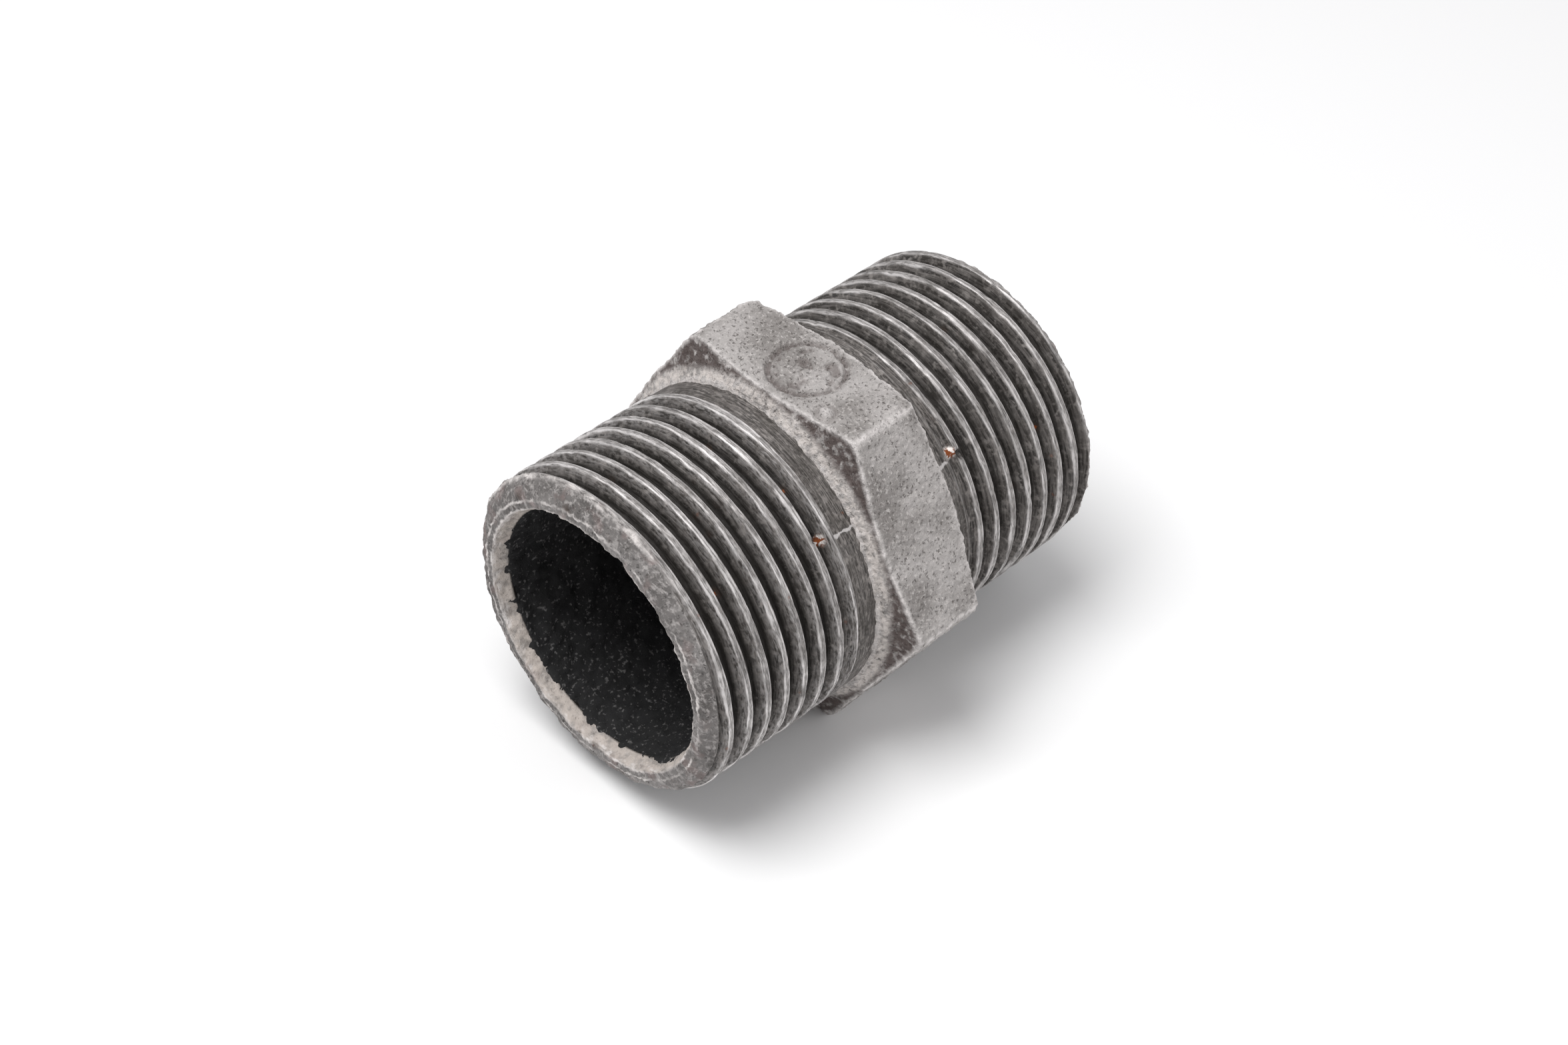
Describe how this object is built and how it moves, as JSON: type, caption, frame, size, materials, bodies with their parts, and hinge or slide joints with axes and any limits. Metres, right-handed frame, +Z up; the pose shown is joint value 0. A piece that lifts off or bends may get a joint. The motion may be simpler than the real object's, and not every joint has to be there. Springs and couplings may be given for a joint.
{
  "type": "hexagon pipe nipple",
  "caption": "Malleable cast iron hexagon nipple: a spanner hexagon between external parallel pipe threads, with a straight bore, for joining internally threaded pipe fittings.",
  "frame": {"origin": "middle of the hexagon, on the pipe axis", "axes": "+X along the pipe axis, +Z up, out of the top flat of the hexagon; the nipple lies on the opposite flat"},
  "size_m": [0.052, 0.0411, 0.036],
  "materials": {
    "black_iron": "sand-cast skin on the hexagon, cut metal on the threads, uncoated"
  },
  "bodies": {
    "root": {"hex_nipple": "black_iron"}
  },
  "joints": []
}
